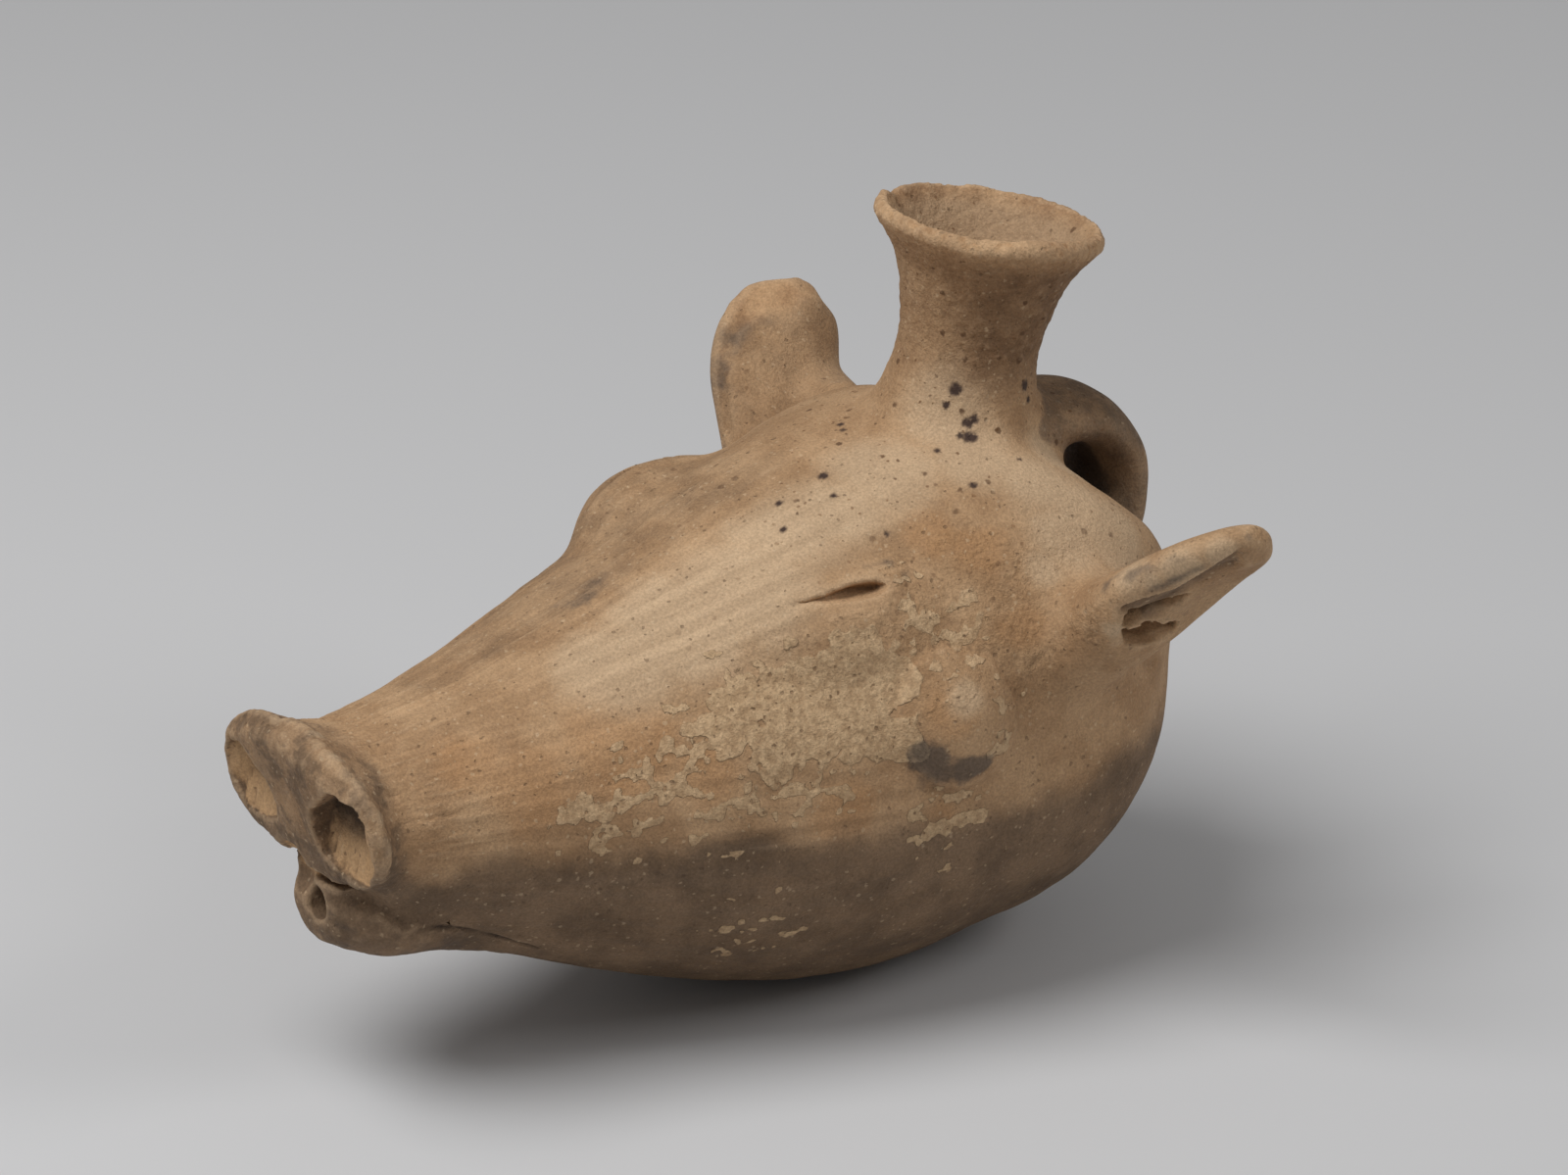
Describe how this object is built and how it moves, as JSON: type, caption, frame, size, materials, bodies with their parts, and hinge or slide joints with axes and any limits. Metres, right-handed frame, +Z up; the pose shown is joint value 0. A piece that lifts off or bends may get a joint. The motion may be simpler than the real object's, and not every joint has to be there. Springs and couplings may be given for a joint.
{
  "type": "boar-head rhyton",
  "caption": "Fired-clay pouring vessel shaped as a boar's head, filled through a flared neck on the crown, held by a strap handle and poured through a small hole in the lower lip.",
  "frame": {"origin": "on the flattened patch under the jaw that the vessel stands on, in the plane that halves the head", "axes": "+Z up, -Y the way the snout points, +X the boar's left"},
  "size_m": [0.205, 0.2497, 0.1897],
  "materials": {
    "fired_clay": "unglazed low-fired earthenware, buff to brown-grey, smoked and crusted"
  },
  "bodies": {
    "root": {"jaw_bowl": "fired_clay", "crown_dome": "fired_clay", "snout_disc": "fired_clay", "lower_lip": "fired_clay", "filling_neck": "fired_clay", "strap_handle": "fired_clay", "left_ear": "fired_clay", "right_ear": "fired_clay", "left_eye": "fired_clay", "right_eye": "fired_clay", "left_cheek_boss": "fired_clay", "right_cheek_boss": "fired_clay"}
  },
  "joints": []
}
